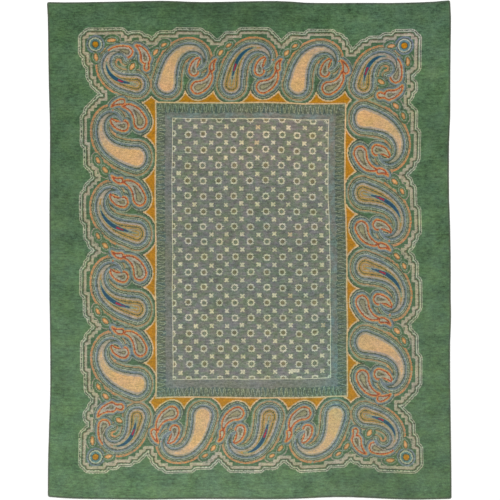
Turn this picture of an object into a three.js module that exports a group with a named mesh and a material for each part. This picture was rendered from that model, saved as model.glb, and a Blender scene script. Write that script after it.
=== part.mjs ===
import * as THREE from "three";

// A hand-knotted wool room carpet, lying flat with its pile up. Millimetres, +Z up.
// The underside is at Z = 0, +X runs across the warps and +Y along them.

// Driving dimensions
const carpetWidth = 2985; // between the straight lines that the side edges wander about
const carpetLength = 3700; // between the straight lines that the ends wander about
const cornerRadius = 14;
const pileHeight = 12; // from the underside to the tips of the pile
const edgeThickness = 8; // the overcast side edges and the woven ends are this thick
const edgeBand = 11; // from the outermost yarn to the foot of the pile
const grooveDepth = 1.2; // the dip where the edge meets the first row of knots
const pileShoulder = 4; // the tips splay out and round off over this width

// Steps
const sideStep = 105;
const cornerSteps = 4;
const edgeRoundSteps = 3;
const shoulderSteps = 3;

// How far each edge stands out from its straight line, by the place along the edge
const leftEdge = [
  { y: -1850, out: 8 },
  { y: -1560, out: 6 },
  { y: -1415, out: 1 },
  { y: -1265, out: -3 },
  { y: -1115, out: -9 },
  { y: -820, out: -10 },
  { y: -520, out: -7 },
  { y: -370, out: -4 },
  { y: -75, out: -5 },
  { y: 225, out: -4 },
  { y: 600, out: -7 },
  { y: 820, out: -8 },
  { y: 970, out: -7 },
  { y: 1120, out: -2 },
  { y: 1415, out: 4 },
  { y: 1715, out: 8 },
  { y: 1850, out: 15 },
];
const rightEdge = [
  { y: -1850, out: 14 },
  { y: -1560, out: 12 },
  { y: -1265, out: 8 },
  { y: -970, out: 4 },
  { y: -670, out: 4 },
  { y: -520, out: 11 },
  { y: -370, out: 8 },
  { y: -75, out: 8 },
  { y: 225, out: 2 },
  { y: 370, out: -4 },
  { y: 820, out: -4 },
  { y: 970, out: 4 },
  { y: 1265, out: 5 },
  { y: 1565, out: 8 },
  { y: 1715, out: 10 },
  { y: 1850, out: 3 },
];
const bottomEnd = [
  { x: -1490, out: -11 },
  { x: -1445, out: -9 },
  { x: -1335, out: 1 },
  { x: -1035, out: 6 },
  { x: -740, out: 9 },
  { x: -440, out: 4 },
  { x: 155, out: 6 },
  { x: 305, out: 4 },
  { x: 450, out: -2 },
  { x: 600, out: -9 },
  { x: 750, out: -9 },
  { x: 900, out: -2 },
  { x: 1200, out: 9 },
  { x: 1490, out: 3 },
];
const topEnd = [
  { x: -1490, out: -4 },
  { x: -1335, out: -6 },
  { x: -1035, out: -2 },
  { x: -740, out: 4 },
  { x: -590, out: 5 },
  { x: -440, out: -2 },
  { x: -290, out: -4 },
  { x: 155, out: 4 },
  { x: 305, out: 0 },
  { x: 450, out: -10 },
  { x: 900, out: -10 },
  { x: 1050, out: -11 },
  { x: 1345, out: -3 },
  { x: 1460, out: 7 },
  { x: 1490, out: 9 },
];

// Smooth curve through the rows of an edge table
function wander(edge, key, at) {
  const last = edge.length - 1;
  let row = 0;
  while (row < last - 1 && at > edge[row + 1][key]) row += 1;
  const slope = (low, high) => {
    const a = edge[Math.max(low, 0)];
    const b = edge[Math.min(high, last)];
    return (b.out - a.out) / (b[key] - a[key]);
  };
  const span = edge[row + 1][key] - edge[row][key];
  const t = THREE.MathUtils.clamp((at - edge[row][key]) / span, 0, 1);
  const startPull = slope(row - 1, row + 1) * span;
  const endPull = slope(row, row + 2) * span;
  const rise = t * t * (3 - 2 * t);
  return (
    edge[row].out * (1 - rise) +
    edge[row + 1].out * rise +
    startPull * t * (1 - t) * (1 - t) -
    endPull * t * t * (1 - t)
  );
}

// Moves a point of the straight-sided carpet to where it lies on the real, uneven one
function uneven(point) {
  const across = point.x / carpetWidth + 0.5;
  const along = point.y / carpetLength + 0.5;
  const left = -wander(leftEdge, "y", point.y);
  const right = wander(rightEdge, "y", point.y);
  const bottom = -wander(bottomEnd, "x", point.x);
  const top = wander(topEnd, "x", point.x);
  return new THREE.Vector2(
    point.x + THREE.MathUtils.lerp(left, right, across),
    point.y + THREE.MathUtils.lerp(bottom, top, along),
  );
}

// One turn round the carpet at a distance in from its edge, with the same steps at any distance
function ringAt(inset) {
  const halfWidth = carpetWidth / 2 - inset;
  const halfLength = carpetLength / 2 - inset;
  const radius = Math.max(cornerRadius - inset, 1);
  const corners = [
    { x: 1, y: 1, turn: 0, side: carpetWidth },
    { x: -1, y: 1, turn: 1, side: carpetLength },
    { x: -1, y: -1, turn: 2, side: carpetWidth },
    { x: 1, y: -1, turn: 3, side: carpetLength },
  ];
  const ring = [];
  corners.forEach((corner, index) => {
    const centre = new THREE.Vector2(corner.x * (halfWidth - radius), corner.y * (halfLength - radius));
    for (let step = 0; step <= cornerSteps; step += 1) {
      const angle = (corner.turn + step / cornerSteps) * (Math.PI / 2);
      ring.push(new THREE.Vector2(Math.cos(angle), Math.sin(angle)).multiplyScalar(radius).add(centre));
    }
    const next = corners[(index + 1) % corners.length];
    const start = ring[ring.length - 1];
    const nextAngle = next.turn * (Math.PI / 2);
    const end = new THREE.Vector2(
      next.x * (halfWidth - radius) + Math.cos(nextAngle) * radius,
      next.y * (halfLength - radius) + Math.sin(nextAngle) * radius,
    );
    const sideSteps = Math.round(corner.side / sideStep);
    for (let step = 1; step < sideSteps; step += 1) {
      ring.push(start.clone().lerp(end, step / sideSteps));
    }
  });
  return ring.map(uneven);
}

// The rim's section: x is the distance in from the edge and y the height
function rimSection() {
  const half = edgeThickness / 2;
  const grooveHeight = edgeThickness - grooveDepth;
  const path = new THREE.Path();
  path.moveTo(half, 0);
  path.absarc(half, half, half, -Math.PI / 2, -Math.PI * 1.5, true);
  path.quadraticCurveTo(edgeBand - grooveDepth, edgeThickness, edgeBand, grooveHeight);
  const rounded = path.getPoints(edgeRoundSteps);
  const shoulder = new THREE.EllipseCurve(
    edgeBand + pileShoulder, grooveHeight,
    pileShoulder, pileHeight - grooveHeight,
    Math.PI, Math.PI / 2, true,
  );
  return rounded.concat(shoulder.getPoints(shoulderSteps).slice(1));
}

function closedCarpet() {
  const section = rimSection();
  const rings = section.map((point) => ringAt(point.x));
  const box = new THREE.Box2().setFromPoints(rings.flat());
  const middle = box.getCenter(new THREE.Vector2());
  const count = rings[0].length;
  const positions = [];
  rings.forEach((ring, level) => {
    ring.forEach((point) => positions.push(point.x - middle.x, point.y - middle.y, section[level].y));
  });
  const faces = [];
  for (let level = 0; level < rings.length - 1; level += 1) {
    for (let step = 0; step < count; step += 1) {
      const a = level * count + step;
      const b = level * count + ((step + 1) % count);
      faces.push(a, b, b + count, a, b + count, a + count);
    }
  }
  const lastRing = (rings.length - 1) * count;
  THREE.ShapeUtils.triangulateShape(rings[0], []).forEach(([a, b, c]) => faces.push(a, c, b));
  THREE.ShapeUtils.triangulateShape(rings.at(-1), []).forEach(([a, b, c]) => {
    faces.push(lastRing + a, lastRing + b, lastRing + c);
  });
  const geometry = new THREE.BufferGeometry();
  geometry.setAttribute("position", new THREE.Float32BufferAttribute(positions, 3));
  geometry.setIndex(faces);
  geometry.computeVertexNormals();
  return geometry;
}

const wool = new THREE.MeshStandardMaterial({ color: 0x6f8068, roughness: 0.96, metalness: 0 });

const carpet = new THREE.Mesh(closedCarpet(), wool);
carpet.name = "carpet";

const group = new THREE.Group();
group.add(carpet);

export default group;
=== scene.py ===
import math
from types import SimpleNamespace

import bpy
import numpy as np
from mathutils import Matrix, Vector


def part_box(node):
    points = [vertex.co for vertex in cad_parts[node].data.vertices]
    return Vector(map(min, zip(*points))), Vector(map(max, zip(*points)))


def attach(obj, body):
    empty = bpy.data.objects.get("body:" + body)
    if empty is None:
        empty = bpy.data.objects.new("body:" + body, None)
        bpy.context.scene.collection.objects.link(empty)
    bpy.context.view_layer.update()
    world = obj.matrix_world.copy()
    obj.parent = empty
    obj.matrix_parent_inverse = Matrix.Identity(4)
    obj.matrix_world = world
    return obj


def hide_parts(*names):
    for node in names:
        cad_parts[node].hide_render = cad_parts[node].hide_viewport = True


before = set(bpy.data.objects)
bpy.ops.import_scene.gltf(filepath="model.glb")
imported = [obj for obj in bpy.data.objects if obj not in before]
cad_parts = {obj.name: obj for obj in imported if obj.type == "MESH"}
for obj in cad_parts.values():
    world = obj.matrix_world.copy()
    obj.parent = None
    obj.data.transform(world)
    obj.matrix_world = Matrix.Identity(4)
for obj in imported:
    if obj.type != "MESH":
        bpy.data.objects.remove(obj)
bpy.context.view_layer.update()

mm = 0.001
tiny = 1e-6


def table(columns, *rows):
    # each row's values under the columns' names
    return [dict(zip(columns.split(), row)) for row in rows]


# The carpet's edge as the frame has it: the outermost ring of the solid's rim
edge = dict(
    ringHeight=4 * mm,  # the overcast edge bulges furthest here
    sameHeight=0.05 * mm,
    band=11 * mm,  # outermost yarn to the foot of the pile
    groove=6.8 * mm,  # height of the dip between edge and pile
    shoulder=4 * mm,  # the pile rounds off over this width
    roundTurns=(90, 60, 35, 12, 0),
    straight=0.97,  # a spot that faces its side this squarely isn't in the corner's bend
    ofSide=0.7,  # and one that faces it this much still belongs to it
)
spots = {(round(v.co.x, 6), round(v.co.y, 6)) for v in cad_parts["carpet"].data.vertices
         if abs(v.co.z - edge["ringHeight"]) < edge["sameHeight"]}
ring = np.array(sorted(spots, key=lambda spot: math.atan2(spot[1], spot[0])))
along = np.roll(ring, -1, axis=0) - np.roll(ring, 1, axis=0)
ringOut = np.column_stack([along[:, 1], -along[:, 0]]) / np.linalg.norm(along, axis=1, keepdims=True)


def edgeLine(axis, side):
    kept = ringOut[:, axis] * side > edge["straight"]
    order = np.argsort(ring[kept, 1 - axis])
    return ring[kept, 1 - axis][order], ring[kept, axis][order] * side


leftLine, rightLine = edgeLine(0, -1), edgeLine(0, 1)
bottomLine, topLine = edgeLine(1, -1), edgeLine(1, 1)
halfWide = (leftLine[1].mean() + rightLine[1].mean()) / 2
halfLong = (bottomLine[1].mean() + topLine[1].mean()) / 2
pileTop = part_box("carpet")[1].z
print("edge read from the frame", len(ring), "spots; half sizes", round(halfWide, 4), round(halfLong, 4))


def laid(flat):
    # from the straight-sided plan to the carpet's real, uneven shape
    x, y = flat.T
    left, right = (np.interp(y, *line) - halfWide for line in (leftLine, rightLine))
    bottom, top = (np.interp(x, *line) - halfLong for line in (bottomLine, topLine))
    across = x / halfWide / 2 + 0.5
    along = y / halfLong / 2 + 0.5
    return np.column_stack([x - left * (1 - across) + right * across,
                            y - bottom * (1 - along) + top * along])


# The carpet's drawing. Sizes in millimetres of the plan, from the carpet's middle.
plan = dict(
    knot=(5.318, 5.177),
    middle=(6.05, -1.2), half=(735.65, 1122.2),  # the border's foot, at the inner frame
    bandWide=542,  # from there to the outermost cream line
    units=(3, 4), unitPitch=488,  # the motifs are drawn for this pitch
    notchFloor=245, spandrelTop=110,
    stepKnots=5, stepReach=3,  # the scalloped line runs in such steps
    smoothPasses=3, farOff=400.0, motifReach=150,
)

# Motifs of one border unit: u runs along the border and v out from the inner frame.
# A motif is a row of circles along a bending line, so it has a round belly or two points.
motifColumns = "kind u v length heading turn bend radius taper tip clear"
unitMotifs = table(
    motifColumns,
    ("boteh", 112, 112, 610, 80, 256, 2.2, 92, 0.9, 12, 54),
    ("comma", 342, 90, 182, 14, -84, 1.2, 51, 0.85, 7, 42),
    ("comma", 318, 212, 128, 95, 80, 1.2, 39, 0.8, 6, 42),
    ("comma", -34, 232, 78, 96, 60, 1, 23, 0.8, 5, 38),
    ("bud", 20, 330, 46, 62, 20, 1, 12, 0, 2, 34),
    ("bud", 78, 392, 40, 40, 20, 1, 10, 0, 2, 34),
    ("bud", 402, 262, 62, 70, -20, 1, 13, 0, 2, 34),
)
cornerMotifs = table(
    motifColumns,
    ("darkBoteh", 112, 112, 530, 82, 268, 2, 86, 0.9, 12, 54),
    ("rosette", 412, 412, 1, 45, 0, 1, 44, 0.8, 43, 32),
    ("comma", 352, 178, 150, 66, -52, 1.2, 46, 0.85, 7, 42),
    ("comma", 300, 42, 128, 8, -60, 1.2, 40, 0.85, 7, 42),
    ("bud", 262, 128, 46, 150, 0, 1, 14, 0, 2, 36),
    ("bud", 292, 402, 52, 20, 20, 1, 12, 0, 2, 36),
    ("bud", 440, 262, 60, 84, -20, 1, 12, 0, 2, 36),
    ("comma", -16, 222, 92, 92, -46, 1, 26, 0.8, 5, 38),
)
kinds = ["boteh", "darkBoteh", "comma", "bud", "rosette"]
spineSteps = 56
bud = dict(start=0.04, reach=0.92, blunt=0.8)  # a bud is this stretch of a sine, its points blunted
core = dict(radius=13, start=0.02, end=0.6)  # the dark heart along a boteh's spine


def spine(motif):
    # middle, radius and share of the way along, for each circle of a motif
    share = np.linspace(0, 1, spineSteps)
    heading = np.radians(motif["heading"] - motif["turn"] * share ** motif["bend"])
    run = np.column_stack([np.cos(heading), np.sin(heading)]) * (motif["length"] / (spineSteps - 1))
    walked = np.cumsum((run[1:] + run[:-1]) / 2, axis=0)
    middles = np.concatenate([[(0, 0)], walked]) + (motif["u"], motif["v"])
    if motif["taper"]:
        radius = motif["radius"] * (1 - share) ** motif["taper"] + motif["tip"] * share
    else:
        swell = np.sin(np.pi * (bud["start"] + bud["reach"] * share)) ** bud["blunt"]
        radius = motif["radius"] * swell + motif["tip"]
    return np.column_stack([middles, radius, share])


def placedMotifs():
    # every motif with the turn, base and stretch that set it in its place round the border;
    # the first and last boteh of a side are peach, and the others and the corners' are dark
    for quarter in range(4):
        halfRun, out = plan["half"][quarter % 2], plan["half"][1 - quarter % 2]
        count = plan["units"][quarter % 2]
        turn = -math.pi / 2 * quarter
        axes = np.array([[math.cos(turn), math.sin(turn)], [-math.sin(turn), math.cos(turn)]])
        pitch = 2 * halfRun / count
        for number in range(count):
            base = (number * pitch - halfRun, out)
            for motif in unitMotifs:
                if motif["kind"] == "boteh" and 0 < number < count - 1:
                    motif = {**motif, "kind": "darkBoteh"}
                yield motif, axes, base, pitch / plan["unitPitch"]
        for motif in cornerMotifs:
            yield motif, axes, (halfRun, out), 1


def motifFields(spot):
    # per point: distance to the nearest motif and its slope, the motif's kind and the share along it,
    # distance to the nearest dark heart, and to the smooth line round them all
    far = plan["farOff"]
    field = {name: np.full(len(spot), far) for name in ("gap", "core", "out")}
    field.update({name: np.zeros(len(spot)) for name in ("kind", "share")})
    field.update({name: np.zeros((len(spot), 2)) for name in ("lean", "outLean")})
    for motif, axes, base, stretch in placedMotifs():
        local = (spot @ axes.T - base) / (stretch, 1)
        circles = spine(motif)
        room = motif["radius"] + plan["motifReach"]
        low = circles[:, :2].min(axis=0) - room
        high = circles[:, :2].max(axis=0) + room
        near = np.nonzero(((local > low) & (local < high)).all(axis=1))[0]
        if not len(near):
            continue
        offset = local[near][:, None, :] - circles[None, :, :2]
        length = np.maximum(np.hypot(offset[..., 0], offset[..., 1]), tiny)
        gaps = length - circles[:, 2]
        best = gaps.argmin(axis=1)
        rows = np.arange(len(near))
        gap = gaps[rows, best]
        lean = (offset[rows, best] / length[rows, best][:, None] / (stretch, 1)) @ axes
        closer = gap < field["gap"][near]
        at = near[closer]
        field["gap"][at] = gap[closer]
        field["lean"][at] = lean[closer]
        field["kind"][at] = kinds.index(motif["kind"])
        field["share"][at] = circles[best[closer], 3]
        wider = gap - motif["clear"] < field["out"][near]
        field["out"][near[wider]] = gap[wider] - motif["clear"]
        field["outLean"][near[wider]] = lean[wider]
        if motif["kind"] == "darkBoteh":
            within = (circles[:, 3] - core["start"]) / (core["end"] - core["start"])
            slim = core["radius"] * np.sin(np.pi * np.clip(within, 0, 1))
            slim[within >= 1] = -far
            field["core"][near] = np.minimum(field["core"][near], (length - slim).min(axis=1))
    return field


def footGap(spot):
    # how far a point lies outside the foot of the border's motifs
    return (np.abs(spot) - plan["half"]).max(axis=-1)


def steppedOutline(spot):
    # distance to the scalloped line and its slope, once it is drawn in steps as on a weaver's chart
    size = np.array(plan["knot"]) * plan["stepKnots"]
    reach = plan["stepReach"]
    low = np.floor(spot.min(axis=0) / size).astype(int) - reach
    high = np.floor(spot.max(axis=0) / size).astype(int) + reach + 1
    cells = np.moveaxis(np.indices(high - low), 0, -1) + low
    middles = (cells.reshape(-1, 2) + 0.5) * size
    smooth = np.minimum(motifFields(middles)["out"], footGap(middles) - plan["notchFloor"])
    filled = (smooth < 0).reshape(cells.shape[:2])
    for smoothing in range(plan["smoothPasses"]):
        sides = [np.roll(filled, step, axis) for step in (1, -1) for axis in (0, 1)]
        filled |= np.sum(sides, axis=0) > 2  # no single holes
    home = np.floor(spot / size).astype(int) - low
    found = {wanted: (np.full(len(spot), plan["farOff"]), np.zeros((len(spot), 2)))
             for wanted in (True, False)}
    for step in np.ndindex(2 * reach + 1, 2 * reach + 1):
        cell = home + step - reach
        offset = spot - (cell + low + 0.5) * size
        away = np.sign(offset) * np.maximum(np.abs(offset) - size / 2, 0)
        length = np.hypot(away[:, 0], away[:, 1])
        isFilled = filled[cell[:, 0], cell[:, 1]]
        for wanted, (nearest, lean) in found.items():
            closer = (isFilled == wanted) & (length < nearest)
            nearest[closer] = length[closer]
            lean[closer] = away[closer] / np.maximum(length[closer], tiny)[:, None]
    return found[True][0] - found[False][0], found[True][1] - found[False][1]


def borderFields(drawn):
    spot = drawn - plan["middle"]
    field = motifFields(spot)
    out, outLean = steppedOutline(spot)
    beyond = footGap(spot)
    low = beyond < (plan["notchFloor"] + plan["spandrelTop"]) / 2
    top = plan["spandrelTop"] - beyond
    out[low] = np.minimum(field["out"], top)[low]
    outLean[low] = field["outLean"][low]
    outLean[low & (field["out"] > top)] = 0
    return {
        "motif": np.column_stack([field["gap"], field["share"], field["kind"]]),
        "motifLean": np.column_stack([field["lean"], field["core"]]),
        "outline": np.column_stack([out, outLean]),
    }


# Slow wander of the drawing in the weave. Places and reaches in metres, shifts in millimetres.
drift = dict(
    size=1.3, skewX=7, skewSpan=(-0.6, 0.6), skewEnd=1.6,
    fieldHalfLong=0.97, narrowing=0.0072, fade=0.2, fadeLeast=0.25,
)
waveColumns = "size byX byY phase"
wanderX = table(waveColumns, (1, 0, 7.3, 1.1), (0.6, -4.1, 15.7, 0.4), (0.4, 9, 29, 0))
wanderY = table(waveColumns, (1, 6.1, 0, 2.7), (0.6, 13.9, 3.7, 1.9), (0.4, 31, -7, 0))
bulges = table(
    "x y wide long shiftX shiftY",
    (-0.1, 0, 0.12, math.inf, 6, 0),
    (0, 0.37, math.inf, 0.17, 0, 4.5),
    (-0.5, -1.13, 0.24, 0.15, 0, -8),
)


def waves(flat, rows):
    x, y = flat.T
    return sum(row["size"] * np.sin(row["byX"] * x + row["byY"] * y + row["phase"]) for row in rows)


def patched(flat, patches, key):
    # one value of soft patches, each with its place and its reach in x and y
    total = np.zeros(len(flat))
    for patch in patches:
        offX = (flat[:, 0] - patch["x"]) / patch["wide"]
        offY = (flat[:, 1] - patch["y"]) / patch["long"]
        total += patch[key] * np.exp(-offX ** 2 - offY ** 2)
    return total


def drawnCoordinates(flat):
    x, y = flat.T
    low, high = drift["skewSpan"]
    right = np.clip((x - low) / (high - low), 0, 1)
    skew = -drift["skewX"] * y / drift["fieldHalfLong"] * right * np.clip(drift["skewEnd"] - np.abs(x), 0, 1)
    fade = 1 - (np.abs(y) - drift["fieldHalfLong"]) / drift["fade"]
    longer = 1 + drift["narrowing"] * right * np.clip(fade, drift["fadeLeast"], 1)
    wander = [drift["size"] * waves(flat, rows) for rows in (wanderX, wanderY)]
    return np.column_stack([x / mm - wander[0] - skew + patched(flat, bulges, "shiftX"),
                            y / mm * longer - wander[1] + patched(flat, bulges, "shiftY")])


# Brighter and darker dye lots, as soft patches: place and reach in metres
dyeTone = dict(middle=1.02, byY=-0.05, byXY=0.022)
dyePatches = table(
    "x y wide long lift",
    (0.02, 1.75, 0.5, 0.14, -0.12), (0.1, 1.78, 1.3, 0.13, -0.13), (1.15, -1.75, 0.5, 0.25, -0.09),
    (0.7, -1.8, 0.25, 0.12, -0.14), (-0.4, -1.84, 0.4, 0.05, -0.1), (0.75, 1.72, 0.35, 0.1, 0.14),
    (-0.37, 1.82, 0.4, 0.06, -0.12), (-0.82, -1.74, 0.12, 0.16, 0.14), (0.57, -1.7, 0.1, 0.06, 0.12),
    (1.34, -1.77, 0.1, 0.08, 0.12), (-1.42, -1.19, 0.15, 0.12, 0.08), (-0.2, -1.78, 1, 0.15, 0.18),
    (-1.47, 0.6, 0.22, 0.7, -0.1), (-1.47, -0.2, 0.22, 0.1, 0.06), (1.47, 0.68, 0.2, 0.45, -0.1),
    (1.38, 1.4, 0.12, 0.2, 0.1), (-1.4, 1.17, 0.12, 0.05, -0.07), (-1.4, 0.32, 0.14, 0.03, -0.07),
    (-1.4, -0.94, 0.14, 0.03, -0.1), (1.38, 0.86, 0.14, 0.1, -0.08), (0.05, 0.8, 0.75, 0.25, 0.09),
    (0.4, 0.85, 0.25, 0.2, 0.05), (0, -1, 0.65, 0.14, 0.035), (-0.02, -0.99, 0.1, 0.04, 0.1),
    (0.5, -1, 0.13, 0.05, 0.13), (0.63, -0.85, 0.05, 0.2, 0.12), (-0.42, 0.2, 0.22, 0.6, -0.03),
    (0, 1.25, 1.2, 0.12, 0.03), (0, -1.4, 1.2, 0.2, 0.09), (0, 0.02, 0.65, 0.6, -0.06),
    (-1.05, 1.4, 0.35, 0.3, 0.11),
)

# Redder or bluer lots, in the same way
huePatches = table(
    "x y wide long red blue",
    (0.2, 0.87, 0.6, 0.28, 0.12, -0.04), (0.2, -0.2, 0.6, 0.25, -0.035, 0),
    (0.5, -0.65, 0.2, 0.4, -0.05, 0), (0.645, -0.98, 0.085, 0.4, -0.22, 0.06),
    (0.7, 0.8, 0.1, 0.3, 0.03, -0.02), (0.5, -1.04, 0.17, 0.1, -0.12, 0.03),
    (-0.62, -1.05, 0.12, 0.11, -0.16, 0.03), (-0.35, 1.06, 0.3, 0.08, -0.1, 0),
    (1.2, 1.65, 0.35, 0.25, 0.05, 0.22), (1.36, 1.35, 0.07, 0.15, 0.13, 0.05),
    (1.3, -1.75, 0.4, 0.25, -0.05, -0.07), (-1.4, -1.5, 0.2, 0.35, -0.05, -0.06),
    (-0.2, -1.75, 0.35, 0.14, 0.04, 0.09), (-1.05, 1.4, 0.35, 0.3, 0.05, 0),
)


def storeVectors(mesh, name, values):
    layer = mesh.attributes.new(name, "FLOAT_VECTOR", "POINT")
    layer.data.foreach_set("vector", np.asarray(values, np.float32).ravel())


def storeCloth(mesh, flat):
    # where each point lies in the drawing, and how light, red and blue its dye is
    x, y = flat.T
    drawn = drawnCoordinates(flat)
    storeVectors(mesh, "cloth", np.column_stack([drawn, np.zeros(len(flat))]))
    tone = dyeTone["middle"] + dyeTone["byY"] * y + dyeTone["byXY"] * x * y
    tone += patched(flat, dyePatches, "lift")
    hues = [1 + patched(flat, huePatches, key) for key in ("red", "blue")]
    storeVectors(mesh, "dye", np.column_stack([tone, *hues]))
    return drawn


def around(block):
    # the point numbers in use along the edge of a block, all the way round
    walk = np.concatenate([block[:-1, 0], block[-1, :-1], block[:0:-1, -1], block[0, :0:-1]])
    return walk[walk >= 0]


def clothGrid(half, coarse, split):
    # one face of the cloth: fine cells under the border's drawing and coarse ones elsewhere
    counts = np.round(2 * half / coarse).astype(int)
    middles = [(np.arange(count) + 0.5) / count * 2 * reach - reach for count, reach in zip(counts, half)]
    grid = np.stack(np.meshgrid(*middles, indexing="ij"), axis=-1)
    out = footGap(grid / mm - plan["middle"]) * mm
    fine = (out > -coarse) & (out < plan["bandWide"] * mm + coarse / 2)
    used = np.zeros(counts * split + 1, bool)
    for i, j in np.argwhere(fine):
        used[i * split:(i + 1) * split + 1, j * split:(j + 1) * split + 1] = True
    used[::split, ::split] = True
    number = np.full(used.shape, -1)
    number[used] = np.arange(used.sum())
    places = (np.argwhere(used) / (counts * split) * (2 * half) - half).tolist()
    faces = []
    for i, j in np.ndindex(*counts):
        block = number[i * split:(i + 1) * split + 1, j * split:(j + 1) * split + 1]
        if fine[i, j]:
            cells = np.stack([block[:-1, :-1], block[1:, :-1], block[1:, 1:], block[:-1, 1:]], axis=-1)
            faces += cells.reshape(-1, 4).tolist()
            continue
        walk = around(block).tolist()
        if len(walk) == 4:
            faces.append(walk)
            continue
        faces += [[a, b, len(places)] for a, b in zip(walk, walk[1:] + walk[:1])]
        places.append(grid[i, j].tolist())
    return np.array(places), faces, around(number)


def link(name, data):
    piece = bpy.data.objects.new(name, data)
    bpy.context.scene.collection.objects.link(piece)
    return piece


def meshPiece(name, points, faces, smooth=True, edges=()):
    mesh = bpy.data.meshes.new(name)
    mesh.from_pydata(points.tolist(), edges, faces)
    mesh.polygons.foreach_set("use_smooth", [smooth] * len(mesh.polygons))
    mesh.update()
    return link(name, mesh)


def squareOutward(spots, half):
    # the direction out of a rectangle at each point of its rim: both ways at a corner
    return np.sign(np.where(np.abs(spots) > half - tiny, spots, 0))


def clothBody(name, size, section, relief, upwards):
    # closed cloth: a patterned face, a side that follows the section, and a closing face that doesn't show
    half = np.array([halfWide, halfLong]) - section[0][0]
    face, faces, last = clothGrid(half, size["coarse"], size["split"])
    rim = face[last]
    outward = squareOutward(rim, half)
    outward /= np.maximum(np.linalg.norm(outward, axis=1, keepdims=True), 1) ** size["cornerPull"]
    flats = [face]
    levels = [section[0][1] + relief(face)]
    start = len(face)
    for inset, height in section[1:]:
        flats.append(rim + outward * (section[0][0] - inset))
        levels.append(np.full(len(rim), height))
        ringNow = np.arange(start, start + len(rim))
        faces += np.column_stack([ringNow, np.roll(ringNow, -1), np.roll(last, -1), last]).tolist()
        last = ringNow
        start += len(rim)
    flats.append(np.zeros((1, 2)))
    levels.append(np.full(1, section[-1][1]))
    faces += np.column_stack([np.roll(last, -1), last, np.full(len(last), start)]).tolist()
    if not upwards:
        faces = [corners[::-1] for corners in faces]
    flat = np.concatenate(flats)
    piece = meshPiece(name, np.column_stack([laid(flat), np.concatenate(levels)]), faces)
    for layer, values in borderFields(storeCloth(piece.data, flat)).items():
        storeVectors(piece.data, layer, values)
    bakeMap(piece.data, flat, len(face))
    tellMade(piece)
    return piece


def tellMade(piece):
    count = sum(len(face.vertices) - 2 for face in piece.data.polygons)
    print(piece.name, "made", count, "triangles")


bake = dict(strip=0.02, start=0.9, end=0.1)  # the sides' and the closing face's share of the picture


def bakeMap(mesh, flat, faceCount):
    def read(items, name):
        values = np.zeros(len(items), int)
        items.foreach_get(name, values)
        return values

    corners = read(mesh.loops, "vertex_index")
    seen = flat / (2 * halfWide, 2 * halfLong) + 0.5
    seen[:, 1] = bake["strip"] + seen[:, 1] * (1 - bake["strip"])
    uv = seen[corners]
    hidden = np.maximum.reduceat(corners, read(mesh.polygons, "loop_start")) >= faceCount
    onSide = np.repeat(hidden, read(mesh.polygons, "loop_total"))
    turn = np.arctan2(flat[:, 1] / halfLong, flat[:, 0] / halfWide) / (2 * math.pi) + 0.5
    depth = np.linspace(bake["start"], bake["end"], len(flat)) * bake["strip"]
    uv[onSide] = np.column_stack([turn, depth])[corners[onSide]]
    mesh.uv_layers.new(name="OFBake").data.foreach_set("uv", uv.astype(np.float32).ravel())


# Node trees, written as sums
def mathPair(operation):
    # an operation that starts from a socket, and its reflected form, as in 1 - mask
    def plain(self, *others):
        return self.board.add("ShaderNodeMath", (self, *others), operation=operation)

    def reflected(self, other):
        return self.board.add("ShaderNodeMath", (other, self), operation=operation)

    return plain, reflected


class Wire:
    def __init__(self, board, socket):
        self.board = board
        self.socket = socket

    __add__, __radd__ = mathPair("ADD")
    __sub__, __rsub__ = mathPair("SUBTRACT")
    __mul__, __rmul__ = mathPair("MULTIPLY")
    __truediv__ = mathPair("DIVIDE")[0]
    __pow__ = mathPair("POWER")[0]
    __lt__ = mathPair("LESS_THAN")[0]
    __gt__ = mathPair("GREATER_THAN")[0]
    __abs__ = mathPair("ABSOLUTE")[0]
    arctan = mathPair("ARCTAN2")[0]
    cosine = mathPair("COSINE")[0]
    floor = mathPair("FLOOR")[0]
    fract = mathPair("FRACT")[0]
    max = mathPair("MAXIMUM")[0]
    min = mathPair("MINIMUM")[0]

    def clip(self):
        return self.min(1).max(0)

    def spread(self):
        # the middle of a noise's range, drawn out from 0 to 1
        return (self * 5 - 2).clip()


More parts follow.
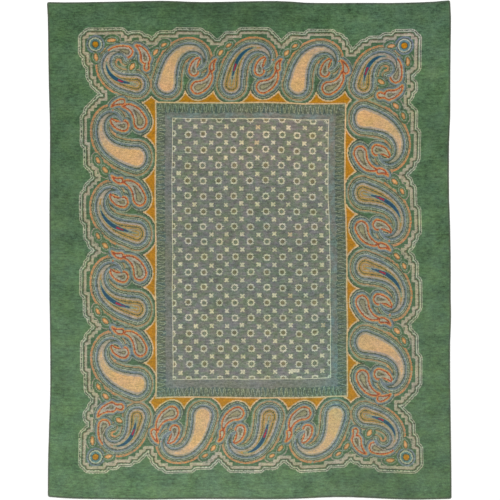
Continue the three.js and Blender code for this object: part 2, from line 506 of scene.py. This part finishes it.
class Board:
    def __init__(self, tree):
        self.tree = tree

    def add(self, kind, inputs=(), output=0, **settings):
        # settings first, then each input's value or link
        node = self.tree.nodes.new(kind)
        for name, value in settings.items():
            if name == "stops":
                self.fillRamp(node.color_ramp, value)
            else:
                setattr(node, name, value)
        for key, value in inputs.items() if isinstance(inputs, dict) else enumerate(inputs):
            if isinstance(value, Wire):
                self.tree.links.new(value.socket, node.inputs[key])
            elif value is not None:
                node.inputs[key].default_value = value
        return Wire(self, node.outputs[output]) if node.outputs else None

    def fillRamp(self, ramp, stops):
        ramp.interpolation = "CONSTANT"
        ramp.elements.remove(ramp.elements[1])
        for number, (place, colour) in enumerate(stops):
            stop = ramp.elements.new(place) if number else ramp.elements[0]
            stop.color = colour

    def others(self, wire, *names):
        return [Wire(self, wire.socket.node.outputs[name]) for name in names]

    def split(self, vector):
        x = self.add("ShaderNodeSeparateXYZ", [vector])
        return [x, *self.others(x, "Y", "Z")]

    def join(self, x, y, z=0.0):
        return self.add("ShaderNodeCombineXYZ", [x, y, z])

    def layer(self, name):
        return self.add("ShaderNodeAttribute", output="Vector", attribute_name=name)

    def noise(self, x, y, grain, output=0):
        # a grain is the noise's scale across and along, its detail and its roughness
        across, along, detail, roughness = grain
        place = self.join(x * across, y * along)
        inputs = {"Vector": place, "Scale": 1.0, "Detail": detail, "Roughness": roughness}
        return self.add("ShaderNodeTexNoise", inputs, output, noise_dimensions="2D")

    def dice(self, x, y):
        # a chance number and a chance colour for each pair of whole numbers
        thrown = self.add("ShaderNodeTexWhiteNoise", {"Vector": self.join(x, y)}, noise_dimensions="2D")
        return self.others(thrown, "Value", "Color")

    def vector(self, operation, *values):
        return self.add("ShaderNodeVectorMath", values, operation=operation)

    def tint(self, colour, amount):
        return self.vector("SCALE", colour, None, None, amount)

    def cover(self, colour, *layers):
        # lay colours over one, each where its mask lets it through; a dye may go by its name
        for mask, over in layers:
            inputs = {0: mask, 6: dyes.get(colour, colour), 7: dyes.get(over, over)}
            colour = self.add("ShaderNodeMix", inputs, 2, data_type="RGBA")
        return colour

    def gather(self, *parts):
        whole = self.add("GeometryNodeJoinGeometry")
        for part in parts:
            self.tree.links.new(part.socket, whole.socket.node.inputs[0])
        return whole


# Dyes as they look in even light
litBy = 1.22  # the studio light on a flat face, against full white
dyeLooks = dict(
    green="4F6F4C", innerGreen="4A6847", teal="5A7E7A", dark="42523D", brown="5E5A44",
    beige="A39F84", cream="A8AD92", lilac="A49884", slateLight="949E8A", slate="828D76",
    ash="96907E", slateBlue="6C7A7C", tan="9C845C", peach="CDA774", peachGrey="B0A08A",
    ochre="AC7600", olive="A08448", navy="184A60", crimson="9A2436", orange="C48048",
    rust="924222", heart="8E8A6A", budEdge="B07C46", bud="D0A26C", frameCream="C6AC7F",
    tooth="5B6750", toothLine="848E77", toothGap="585F4C", toothTeal="4A6059",
    plainSlate="70746A", slateTeal="6C7D75", fieldViolet="73746E", fieldGreen="6D7866",
    ringCream="C1C0A4", ringHeart="69674C", heartMiddle="767154", crossCream="BFBC9C",
    crossTan="B8AC88", overcast="54624E", endWeft="5A6A57", weft="8E8A72", dust="C8C4B8",
    rimGrey="626E5A",
)


def linear(share):
    return share / 12.92 if share <= 0.04045 else ((share + 0.055) / 1.055) ** 2.4


dyes = {name: (*[linear(int(code[k:k + 2], 16) / 255) / litBy for k in (0, 2, 4)], 1)
        for name, code in dyeLooks.items()}

# Where each stripe ends, in millimetres from a motif's outline: less than nothing is inside it
contour = [(2, "dark"), (10, "slate"), (15, "dark"), (24, "tan"), (33, "slate"), (100, "innerGreen")]
rim = [(-33, "lilac"), (-26, "ash"), (-20, "dark"), (-8, "slateBlue"), (-3, "slateLight")]
stripeReach = (-100, 100)
stripes = dict(
    boteh=[(-42, "peach"), (-36, "peachGrey"), *rim, *contour],
    darkBoteh=[(-74, "olive"), (-67, "ash"), (-54, "olive"), (-48, "dark"), (-39, "olive"), *rim, *contour],
    comma=[(-34, "heart"), (-27, "brown"), (-20, "ash"), (-12, "beige"), (-5, "rust"), (2, "orange"),
           (9, "slate"), (17, "slateBlue"), (22, "dark"), (30, "slate"), (34, "dark"), (100, "innerGreen")],
    bud=[(-7, "bud"), (0, "budEdge"), (7, "innerGreen"), (13, "slate"), (30, "innerGreen"), (36, "ash"),
         (100, "innerGreen")],
    rosette=[(-26, "ochre"), (-18, "dark"), (-6, "teal"), (3, "cream"), (10, "dark"), (22, "slateBlue"),
             (100, "innerGreen")],
    outline=[(18, "beige"), (25, "brown"), (32, "innerGreen"), (40, "cream"), (46, "dark"), (52, "cream"),
             (100, "green")],
    spandrel=[(-10, "slate"), (-3, "dark"), (7, "frameCream"), (100, "ochre")],
)
heart = dict(edge=6, red=-5, redUntil=0.26)  # a dark boteh's slate edge and crimson end
paling = dict(start=0.34, rise=4, below=-45)  # a peach boteh greys towards its tail
accent = dict(start=25, end=31, rise=270)  # the orange line along a boteh's back
frameLine = dict(start=-20, end=-31)  # the cream line inside the border's foot

# The field's lattice of rings and crosses; the rings' middles and the crosses fall on knots
lattice = dict(
    knots=22, firstColumn=-109, firstRow=-186,
    middle=(8, 10.4), half=(585, 970.7), lineHalf=5, lineThin=1.5,
    ring=21.2, ringHalf=4.7, pips=8, pip=2.8, heart=10.8,
    cross=15, crossNotch=11.3, crossSlant=0.5, notchShake=2,
    slipShare=0.1, tanShare=0.06, greyShare=0.25, lightest=1.06, wearShade=0.12,
    bar=dict(middle=(330, -899), half=(30, 13)),  # one cross is woven as a bar
    cloudGrain=(0.02, 0.032, 2.0, 0.5),
)
teeth = dict(
    top=-31, length=67, shortest=0.94, lengthSpread=0.12, pitch=35, line=0.14,
    slant=0.45, shake=0.12, sway=0.5, swayGrain=(0.014, 0.022, 1.0, 0.5), rightDark=0.92,
)
hand = dict(
    fray=4, frayGrain=(0.5, 0.5, 1.0, 0.5), jitter=2.4,  # the knots' edges waver
    knotTone=0.42, knotHue=(0.07, 0.06, 0.1),  # each knot's own shade
    rowTone=0.6, rowGrain=(0.0012, 0.3, 3.0, 0.75),  # dye lots change from row to row
    fleckTone=1.3, fleckGrain=(0.026, 0.44, 2.0, 0.6),  # short flecks of yarn
    cloudTone=0.4, cloudGrain=(0.0065, 0.008, 4.0, 0.6), lotHue=(0.26, 0.12, 0.54),
    groundTone=0.6, groundReach=110, groundEnd=3,  # more cloud in the plain border, up to 3 reaches in
    evenness=1.15, paleEven=1.3,  # pale wool takes the dye more evenly
    dust=0.028, rimReach=22, rimWear=0.5,
)


def striped(board, distance, name):
    # flat stripes of colour across a distance, each from where the one before it ends
    low, high = stripeReach
    starts = [low] + [end for end, dye in stripes[name][:-1]]
    stops = [((start - low) / (high - low), dyes[dye]) for start, (end, dye) in zip(starts, stripes[name])]
    return board.add("ShaderNodeValToRGB", [(distance - low) / (high - low)], stops=stops)


def readCloth(board):
    # where a point lies in the drawing, the knot that it lies in, and chance numbers for that knot
    x, y = board.split(board.layer("cloth"))[:2]
    tone, red, blue = board.split(board.layer("dye"))
    wide, high = plan["knot"]
    frayX, frayY = board.split(board.noise(x, y, hand["frayGrain"], "Color"))[:2]
    frayedX = x + (frayX - 0.5) * hand["fray"]
    frayedY = y + (frayY - 0.5) * hand["fray"]
    column = (frayedX / wide).floor()
    row = (frayedY / high).floor()
    knotX = (column + 0.5) * wide
    knotY = (row + 0.5) * high
    chance, chances = board.dice(column, row)
    return SimpleNamespace(
        x=x, y=y, row=row, knotX=knotX, knotY=knotY, tone=tone, hue=board.join(red, 1.0, blue),
        chance=chance, swing=chance - 0.5, chances=chances,
        offX=(frayedX - knotX) / wide, offY=(frayedY - knotY) / high,
    )


def outside(spot, piece):
    # how far a knot lies outside a rectangle, across and along
    knots = zip((spot.knotX, spot.knotY), piece["middle"], piece["half"])
    return [abs(knot - middle) - half for knot, middle, half in knots]


def borderColour(board, spot):
    moveX, moveY = spot.knotX - spot.x, spot.knotY - spot.y
    shake = spot.swing * hand["jitter"]
    gap, share, kind = board.split(board.layer("motif"))
    leanX, leanY, coreGap = board.split(board.layer("motifLean"))
    gap = gap + leanX * moveX + leanY * moveY + shake
    out, outX, outY = board.split(board.layer("outline"))
    out = out + outX * moveX + outY * moveY + shake
    beyondX, beyondY = outside(spot, plan)
    beyond = beyondX.max(beyondY)
    grey = ((share - paling["start"]) * paling["rise"]).clip() * (gap < paling["below"])
    isBoteh = kind < kinds.index("comma") - 0.5
    onBack = isBoteh * (beyond > accent["rise"]) * (gap > accent["start"]) * (gap < accent["end"])
    inSpandrel = (beyond < plan["spandrelTop"]) * (out > stripes["spandrel"][0][0])
    colour = board.cover(
        striped(board, gap, "boteh"), (grey, "peachGrey"),
        *[(kind > number + 0.5, striped(board, gap, name)) for number, name in enumerate(kinds[1:])],
        (coreGap < heart["edge"], "slate"), (coreGap < 0, "navy"),
        ((coreGap < heart["red"]) * (share < heart["redUntil"]), "crimson"), (onBack, "orange"),
        (out > 0, striped(board, out, "outline")), (inSpandrel, striped(board, out, "spandrel")))
    return colour, beyond, beyondX > beyondY


def toothColour(board, spot, beyond, sideways):
    # narrow teeth that hang inwards from the frame, each with a light line down both its edges
    along = spot.knotX + (spot.knotY - spot.knotX) * sideways
    sway = board.noise(along, beyond, teeth["swayGrain"])
    place = along / teeth["pitch"] + (sway - 0.5) * teeth["sway"]
    number = board.add("ShaderNodeTexWhiteNoise", {"W": place.floor()}, "Value", noise_dimensions="1D")
    length = teeth["length"] * (teeth["shortest"] + teeth["lengthSpread"] * number)
    depth = (teeth["top"] - beyond) / length
    bend = 0.5 - depth
    steep = teeth["slant"] + bend * bend * (1 - teeth["slant"]) * 4
    edgeGap = abs(place.fract() - 0.5) * 2 - (0.5 + bend * steep) + spot.swing * teeth["shake"]
    colour = board.cover("tooth", (edgeGap > 0, board.cover("toothGap", (number, "toothTeal"))),
                         (abs(edgeGap) < teeth["line"], "toothLine"))
    colour = board.tint(colour, 1 - (1 - teeth["rightDark"]) * sideways * (spot.knotX > 0))
    topOrRight = spot.knotX / plan["half"][0] + spot.knotY / plan["half"][1] > 0
    slate = board.cover("plainSlate", (sway.spread() * topOrRight, "slateTeal"))
    return board.cover(colour, (depth > 1, slate))


def fromMiddles(place, chance, size):
    # how far a knot lies from the nearest ring's middle and from the nearest cross's, one way;
    # now and then a ring or a cross is woven a knot off its place
    pitch = lattice["knots"] * size
    slip = ((chance < lattice["slipShare"]) - (chance > 1 - lattice["slipShare"])) * size
    return ((place + 0.5).fract() - 0.5) * pitch + slip, abs((place.fract() - 0.5) * pitch + slip + size / 2)


def fieldColour(board, spot):
    wide, high = plan["knot"]
    across = (spot.knotX / wide - lattice["firstColumn"] - 0.5) / lattice["knots"]
    along = (spot.knotY / high - lattice["firstRow"] - 0.5) / lattice["knots"]
    chances = board.dice((across * 2 + 0.5).floor(), (along * 2 + 0.5).floor())[1]
    chanceX, chanceY, wear = board.split(chances)
    ringX, crossX = fromMiddles(across, chanceX, wide)
    ringY, crossY = fromMiddles(along, chanceY, high)
    scallop = (ringY.arctan(ringX) * lattice["pips"]).cosine() * lattice["pip"]
    away = (ringX * ringX + ringY * ringY) ** 0.5 - scallop
    arm = crossX.max(crossY)
    notch = lattice["crossNotch"] + spot.swing * lattice["notchShake"]
    onCross = (arm < lattice["cross"]) * (arm - crossX.min(crossY) * lattice["crossSlant"] < notch)
    barX, barY = outside(spot, lattice["bar"])
    cloud = board.noise(spot.knotX, spot.knotY, lattice["cloudGrain"])
    colour = board.cover(
        "fieldGreen", (cloud.spread(), "fieldViolet"), (away < lattice["ring"], "ringHeart"),
        (away < lattice["heart"], board.cover("heartMiddle", (wear < lattice["greyShare"], "fieldGreen"))),
        (abs(away - lattice["ring"]) < lattice["ringHalf"], "ringCream"),
        (onCross.max(barX.max(barY) < 0),
         board.cover("crossCream", (wear > 1 - lattice["tanShare"], "crossTan"))))
    insideX, insideY = outside(spot, lattice)
    colour = board.tint(colour, lattice["lightest"] - wear * lattice["wearShade"])
    return colour, insideX.max(insideY * lattice["lineThin"])


def clothColour(board, spot):
    colour, beyond, sideways = borderColour(board, spot)
    field, inside = fieldColour(board, spot)
    colour = board.cover(colour, (beyond < frameLine["start"], "frameCream"),
                         (beyond < frameLine["end"], toothColour(board, spot, beyond, sideways)),
                         (inside < lattice["lineHalf"], "ringCream"), (inside < -lattice["lineHalf"], field))
    return agedWool(board, spot, colour)


def agedWool(board, spot, colour):
    # uneven dye in rows, flecks and clouds, each knot's own shade, the worn rim and a little dust
    x, y, row = spot.x, spot.y, spot.row
    rows = board.noise(x, row, hand["rowGrain"])
    flecks = board.noise(x, row, hand["fleckGrain"])
    clouds = board.noise(x, y, hand["cloudGrain"])
    fromRim = (halfWide / mm - abs(x)).min(halfLong / mm - abs(y))
    ground = (hand["groundEnd"] - fromRim / hand["groundReach"]).clip()
    cloudTone = hand["cloudTone"] + hand["groundTone"] * ground
    uneven = ((rows - 0.5) * hand["rowTone"] + (flecks - 0.5) * hand["fleckTone"]
              + (clouds - 0.5) * cloudTone)
    uneven = uneven * (hand["evenness"] - board.split(colour)[0] * hand["paleEven"])
    colour = board.tint(colour, spot.tone * (1 + uneven + spot.swing * hand["knotTone"]))
    colour = board.vector("MULTIPLY", colour, spot.hue)
    worn = (1 - fromRim / hand["rimReach"]).clip()
    dusty = hand["dust"] * (1 - y / (halfLong / mm))
    colour = board.cover(colour, (worn * hand["rimWear"], "rimGrey"), (dusty, "dust"))
    lots = board.others(clouds, "Color")[0]
    for hues, reach in ((spot.chances, hand["knotHue"]), (lots, hand["lotHue"])):
        hue = board.vector("MULTIPLY_ADD", hues, reach, [1 - part / 2 for part in reach])
        colour = board.vector("MULTIPLY", colour, hue)
    return colour


flatWool = {"Roughness": 0.95, "Specular IOR Level": 0.2}
wool = {**flatWool, "Sheen Weight": 0.04, "Sheen Roughness": 0.6}


def woolMaterial(name, paint, relief, finish=wool):
    # a wool finish round the colour and the height that the paint function gives
    material = bpy.data.materials.new(name)
    material.use_nodes = True
    material.node_tree.nodes.clear()
    board = Board(material.node_tree)
    colour, height = paint(board)
    bump = board.add("ShaderNodeBump", {**relief, "Height": height})
    shader = board.add("ShaderNodeBsdfPrincipled", {"Base Color": colour, "Normal": bump, **finish})
    board.add("ShaderNodeOutputMaterial", [shader])
    return material


# The pile: the patterned face and its rounded rim, down to the foundation
pile = dict(
    coarse=32 * mm, split=4, cornerPull=0.7, foot=3 * mm, swell=0.35 * mm,
    bump={"Strength": 0.8, "Distance": 2 * mm}, strandGrain=(1.1, 1.1, 2.0, 0.7),
    chanceHeight=0.4, strandHeight=0.7, fallHeight=1.4,
    gapShade=1.0, gapLight=0.17, strandShade=0.7,  # painted shade, darker between the tufts; the strands vary in tone at random
)
swellAcross = table(waveColumns, (1, 5.1, 0, 1.3))
swellAlong = table(waveColumns, (1, 0, 4.3, 0.4))
swellSlant = table(waveColumns, (0.6, 11, -7, 0), (0.5, 13, 9, 0))
swellMost = 2.1


def pileRelief(flat):
    swell = waves(flat, swellAcross) * waves(flat, swellAlong) + waves(flat, swellSlant)
    return (swell / swellMost - 1) * pile["swell"]


def paintPile(board):
    spot = readCloth(board)
    strands = board.noise(spot.x, spot.y, pile["strandGrain"])
    fall = spot.offX * spot.offX + spot.offY * spot.offY
    height = spot.chance * pile["chanceHeight"] + strands * pile["strandHeight"] - fall * pile["fallHeight"]
    # painted shade: each knot darker towards its edges, where the tufts would shadow each other
    shade = pile["gapShade"] * (pile["gapLight"] - fall) + pile["strandShade"] * (strands - 0.5)
    return board.tint(clothColour(board, spot), 1 + shade), height


band, shoulder = edge["band"], edge["shoulder"]
rise = pileTop - edge["groove"]
pileSection = [(band + shoulder * (1 - math.cos(turn)), edge["groove"] + rise * math.sin(turn))
               for turn in np.radians(edge["roundTurns"])]
pileSection.append((band, pile["foot"]))
pilePiece = clothBody("carpet_pile", pile, pileSection, pileRelief, True)
pilePiece.data.materials.append(woolMaterial("knotted wool pile", paintPile, pile["bump"]))


def guideLines(runs, closed):
    # lines for yarns to follow; a run is its points, their outward directions and their heights
    edges = []
    start = 0
    for spots, out, heights in runs:
        numbers = list(range(start, start + len(spots)))
        edges += zip(numbers, numbers[1:] + numbers[:1] if closed else numbers[1:])
        start += len(spots)
    points, outwards, heights = (np.concatenate(part) for part in zip(*runs))
    guide = meshPiece("guide", np.column_stack([points, heights]), [], edges=edges)
    storeCloth(guide.data, points)
    storeVectors(guide.data, "outwards", np.column_stack([outwards, np.zeros(len(points))]))
    return guide


def ringGuide(piece, across):
    # the outermost ring moved inwards, cut at the corners
    spots = ring - ringOut * piece["inset"]
    runs = []
    for side in (-1, 1):
        belongs = ringOut[:, across] * side > edge["ofSide"]
        belongs |= np.roll(belongs, 1) | np.roll(belongs, -1)  # neighbours meet round the corner
        kept = np.nonzero(belongs)[0]
        kept = kept[np.argsort(spots[kept, 1 - across])]
        runs.append((spots[kept], ringOut[kept], np.full(len(kept), piece["height"])))
    return guideLines(runs, False)


def grown(name, guide, build, sizes, material):
    # run a tree of Geometry Nodes on a guide, and keep its result as a plain mesh
    tree = bpy.data.node_groups.new(name, "GeometryNodeTree")
    for way in ("INPUT", "OUTPUT"):
        tree.interface.new_socket("Geometry", in_out=way, socket_type="NodeSocketGeometry")
    sockets = {key: tree.interface.new_socket(key, in_out="INPUT", socket_type="NodeSocketFloat")
               for key in sizes}
    board = Board(tree)
    start = board.add("NodeGroupInput")
    path = board.add("GeometryNodeMeshToCurve", [start])
    outwards = board.add("GeometryNodeInputNamedAttribute", ["outwards"], data_type="FLOAT_VECTOR")
    shape = build(board, path, outwards, dict(zip(sizes, board.others(start, *sizes))))
    whole = board.add("GeometryNodeRealizeInstances", [shape])
    painted = board.add("GeometryNodeSetMaterial", {"Geometry": whole, "Material": material})
    board.add("NodeGroupOutput", [painted])
    modifier = guide.modifiers.new(name, "NODES")
    modifier.node_group = tree
    for key, socket in sockets.items():
        modifier[socket.identifier] = sizes[key]
    mesh = bpy.data.meshes.new_from_object(guide.evaluated_get(bpy.context.evaluated_depsgraph_get()))
    mesh.name = name
    mesh.materials.clear()
    mesh.materials.append(material)
    mesh.polygons.foreach_set("material_index", [0] * len(mesh.polygons))
    mesh.polygons.foreach_set("use_smooth", [True] * len(mesh.polygons))
    guide.modifiers.clear()
    guide.name = name
    guide.data = mesh
    tellMade(guide)
    return guide


def oval(board, points, wide, high):
    # a flattened loop, its longer way along X
    loop = board.add("GeometryNodeCurvePrimitiveCircle", {"Resolution": points, "Radius": 1.0})
    return board.add("GeometryNodeTransform", {"Geometry": loop, "Scale": board.join(wide, high, 1.0)})


def swept(board, path, section):
    return board.add("GeometryNodeCurveToMesh", {0: path, "Profile Curve": section, "Fill Caps": True})


def stepped(board, kind, path, step):
    return board.add("GeometryNode" + kind, {"Curve": path, "Length": step}, mode="LENGTH")


def scattered(board, least, most, seed):
    # the sockets of this node are told apart by place, because they share their names
    kind, first, output = ("FLOAT_VECTOR", 0, 0) if isinstance(least, tuple) else ("FLOAT", 2, 1)
    inputs = {first: least, first + 1: most, "Seed": seed}
    return board.add("FunctionNodeRandomValue", inputs, output, data_type=kind)


def placed(board, points, shape, forward, upward, piece):
    # copies at points, Z along the first direction and Y as near as it can be to the second
    turn = board.add("FunctionNodeAxesToRotation", [forward, upward], primary_axis="Z", secondary_axis="Y")
    scale = scattered(board, piece["least"], piece["most"], piece["seed"] + 1)
    return board.add("GeometryNodeInstanceOnPoints",
                     {"Points": points, "Instance": shape, "Rotation": turn, "Scale": scale})


yarn = dict(
    fibre={"Detail": 3.0, "Roughness": 0.7}, darkest=0.5,
    bump={"Strength": 0.8, "Distance": 0.7 * mm},
)


def yarnMaterial(name, dye, scale):
    # plain wool yarn that follows the rows' dye lots
    def paint(board):
        place = board.add("ShaderNodeTexCoord", output="Object")
        fibre = board.add("ShaderNodeTexNoise", {"Vector": place, "Scale": scale, **yarn["fibre"]})
        return agedWool(board, readCloth(board), board.tint(dyes[dye][:3], yarn["darkest"] + fibre)), fibre

    return woolMaterial(name, paint, yarn["bump"])


# Sides: a cord overcast with dark wool
sides = dict(
    inset=5.5 * mm, height=4.1 * mm, ovalPoints=8, yarnPoints=6, yarnGrain=900.0,
    seed=7, unevenTilt=0.06, least=(0.95, 0.95, 0.9), most=(1.05, 1.03, 1.1),
    sizes={"Stitch Pitch": 4.2 * mm, "Half Width": 4.4 * mm, "Half Height": 2.9 * mm,
           "Yarn Width": 2.15 * mm, "Yarn Height": 1.1 * mm, "Tilt": 0.2, "Core Step": 14 * mm},
)


def sideTree(board, path, outwards, size):
    loop = oval(board, sides["ovalPoints"], size["Half Width"], size["Half Height"])
    cord = swept(board, stepped(board, "ResampleCurve", path, size["Core Step"]), loop)
    points = stepped(board, "CurveToPoints", path, size["Stitch Pitch"])
    tilt = scattered(board, -sides["unevenTilt"], sides["unevenTilt"], sides["seed"]) + size["Tilt"]
    forward = board.vector("ADD", board.others(points, "Tangent")[0], board.tint(outwards, tilt))
    stitch = swept(board, loop, oval(board, sides["yarnPoints"], size["Yarn Height"], size["Yarn Width"]))
    return board.gather(cord, placed(board, points, stitch, forward, (0, 0, 1), sides))


sidePiece = grown("side_edges", ringGuide(sides, 0), sideTree, sides["sizes"],
                  yarnMaterial("overcast wool", "overcast", sides["yarnGrain"]))

# Ends: the foundation's weft turned under, as rows of yarn round a flat core
ends = dict(
    inset=5.5 * mm, height=4.1 * mm, yarnPoints=5, yarnGrain=700.0,
    corePoints=6, coreStep=4, coreSize=0.8,
    sizes={"Wave": 5.3 * mm, "Half Width": 4.2 * mm, "Half Height": 2.5 * mm, "Yarn": 1.35 * mm,
           "Wave Height": 0.1, "Rows": 8.0},
)


def endTree(board, path, outwards, size):
    even = stepped(board, "ResampleCurve", path, size["Wave"])
    coarse = stepped(board, "ResampleCurve", path, size["Wave"] * ends["coreStep"])
    flatCore = swept(board, coarse, oval(board, ends["corePoints"], size["Half Width"] * ends["coreSize"],
                                         size["Half Height"] * ends["coreSize"]))
    rows = board.add("GeometryNodeDuplicateElements", {"Geometry": even, "Amount": size["Rows"]},
                     domain="SPLINE")
    number = board.others(rows, "Duplicate Index")[0]
    along = board.add("GeometryNodeSplineParameter", output="Index")
    wave = 1 + (((along + number) * 0.5).fract() * 4 - 1) * size["Wave Height"]  # out and in by turns
    turn = number * (2 * math.pi) / size["Rows"]
    sideways = board.tint(outwards, turn.cosine() * wave * size["Half Width"])
    upward = board.join(0.0, 0.0, (turn - math.pi / 2).cosine() * wave * size["Half Height"])
    shift = board.vector("ADD", sideways, upward)
    waved = board.add("GeometryNodeSetPosition", {"Geometry": rows, "Offset": shift})
    yarns = swept(board, waved, oval(board, ends["yarnPoints"], size["Yarn"], size["Yarn"]))
    return board.gather(flatCore, yarns)


endPiece = grown("end_webs", ringGuide(ends, 1), endTree, ends["sizes"],
                 yarnMaterial("end weft wool", "endWeft", ends["yarnGrain"]))

# Tufts that show one by one on the pile's rounded shoulder
tufts = dict(
    rows=table("inset height", (12.6 * mm, 7.9 * mm), (16.2 * mm, 8.9 * mm)), step=20 * mm,
    yarnGrain=600.0, seed=21, ruffleLeast=(-1, -1, 2.5), ruffleMost=(1, 1, 4),
    least=(0.85, 0.85, 0.88), most=(1.1, 1.1, 1.06),
    sizes={"Pitch": 5.2 * mm, "Half Width": 2.7 * mm, "Half Height": 3.5 * mm, "Lean": 0.6, "Ruffle": 0.25},
)


def tuftGuide():
    runs = []
    for row in tufts["rows"]:
        half = np.array([halfWide, halfLong]) - row["inset"]
        corners = half * [(-1, -1), (1, -1), (1, 1), (-1, 1)]
        spots = []
        for a, b in zip(corners, np.roll(corners, -1, axis=0)):
            count = round(np.linalg.norm(b - a) / tufts["step"])
            spots += [a + (b - a) * k / count for k in range(count)]
        spots = np.array(spots)
        out = squareOutward(spots, half)
        out /= np.linalg.norm(out, axis=1, keepdims=True)
        runs.append((laid(spots), out, np.full(len(spots), row["height"])))
    return guideLines(runs, True)


def tuftTree(board, path, outwards, size):
    points = stepped(board, "CurveToPoints", path, size["Pitch"])
    ruffle = scattered(board, tufts["ruffleLeast"], tufts["ruffleMost"], tufts["seed"])
    lean = board.vector("ADD", board.tint(outwards, size["Lean"]), board.tint(ruffle, size["Ruffle"]))
    ball = board.add("GeometryNodeMeshIcoSphere", {"Radius": 1.0, "Subdivisions": 1})
    shape = board.join(size["Half Width"], size["Half Width"], size["Half Height"])
    tuft = board.add("GeometryNodeTransform", {"Geometry": ball, "Scale": shape})
    return placed(board, points, tuft, lean, board.others(points, "Tangent")[0], tufts)


tuftPiece = grown("rim_tufts", tuftGuide(), tuftTree, tufts["sizes"],
                  yarnMaterial("rim tuft wool", "green", tufts["yarnGrain"]))

# The back: the same drawing, paler, with the weft showing between the rows of knots
back = dict(
    coarse=32 * mm, split=2, cornerPull=0.7, inset=9 * mm, thickness=2.8 * mm,
    soften=0.4 * mm, weftShare=0.34, weftShake=0.2, weftCover=0.7, paling=0.25,
    bump={"Strength": 0.7, "Distance": 0.7 * mm}, dipHeight=0.5, chanceHeight=0.2,
)


def paintBack(board):
    spot = readCloth(board)
    fall = abs(spot.offY) * 2
    dip = abs(spot.offX) * 2
    onWeft = (fall > 1 - back["weftShare"] + spot.swing * back["weftShake"]) * back["weftCover"]
    paled = back["paling"] + onWeft * (1 - back["paling"])
    height = 1 - fall ** 2 - dip ** 3 * back["dipHeight"] + spot.chance * back["chanceHeight"]
    return board.cover(clothColour(board, spot), (paled, "weft")), height


soft, low, high = back["soften"], back["inset"], back["thickness"]
backSection = [(low + soft, 0), (low, soft), (low, high - soft), (low + soft, high)]
backPiece = clothBody("carpet_back", back, backSection, lambda flat: np.zeros(len(flat)), False)
backPiece.data.materials.append(woolMaterial("carpet back", paintBack, back["bump"], flatWool))

for piece, slot in ((pilePiece, "pile_wool"), (tuftPiece, "pile_wool"), (sidePiece, "edge_wool"),
                    (endPiece, "edge_wool"), (backPiece, "backing_weave")):
    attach(piece, "root")
    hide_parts("carpet")

# Studio: pale floor, soft light, camera straight above as in the photograph
studio = dict(
    floorSize=40, floor={"Base Color": (0.93, 0.93, 0.925, 1), "Roughness": 0.9},
    sky={"Color": (1, 1, 1, 1), "Strength": 0.62},
    lampSize=10, lampPlace=(-0.6, 1.0, 8), lampPower=640,
    lens=100, photoPixel=7.44 * mm, photoSide=500, middleX=0.75,
)


def fill(node, values):
    for name, value in values.items():
        node.inputs[name].default_value = value


def makeStudio():
    scene = bpy.context.scene
    half = studio["floorSize"] / 2
    corners = np.array([(-half, -half, 0), (half, -half, 0), (half, half, 0), (-half, half, 0)])
    floor = meshPiece("floor", corners, [[0, 1, 2, 3]], smooth=False)
    paint = bpy.data.materials.new("pale floor")
    paint.use_nodes = True
    fill(paint.node_tree.nodes["Principled BSDF"], studio["floor"])
    floor.data.materials.append(paint)
    world = bpy.data.worlds.new("studio")
    world.use_nodes = True
    fill(world.node_tree.nodes["Background"], studio["sky"])
    scene.world = world
    light = bpy.data.lights.new("soft lamp", "AREA")
    light.shape = "SQUARE"
    light.size = studio["lampSize"]
    light.energy = studio["lampPower"]
    lamp = link("soft lamp", light)
    lamp.location = studio["lampPlace"]
    lamp.rotation_euler = Vector(studio["lampPlace"]).to_track_quat("Z", "Y").to_euler()
    lens = bpy.data.cameras.new("camera")
    lens.lens = studio["lens"]
    camera = link("camera", lens)
    away = studio["photoSide"] * studio["photoPixel"] * lens.lens / lens.sensor_width
    camera.location = (studio["middleX"] * studio["photoPixel"], 0, pileTop + away)
    scene.camera = camera
    scene.view_settings.view_transform = "Standard"


makeStudio()
print("studio made")
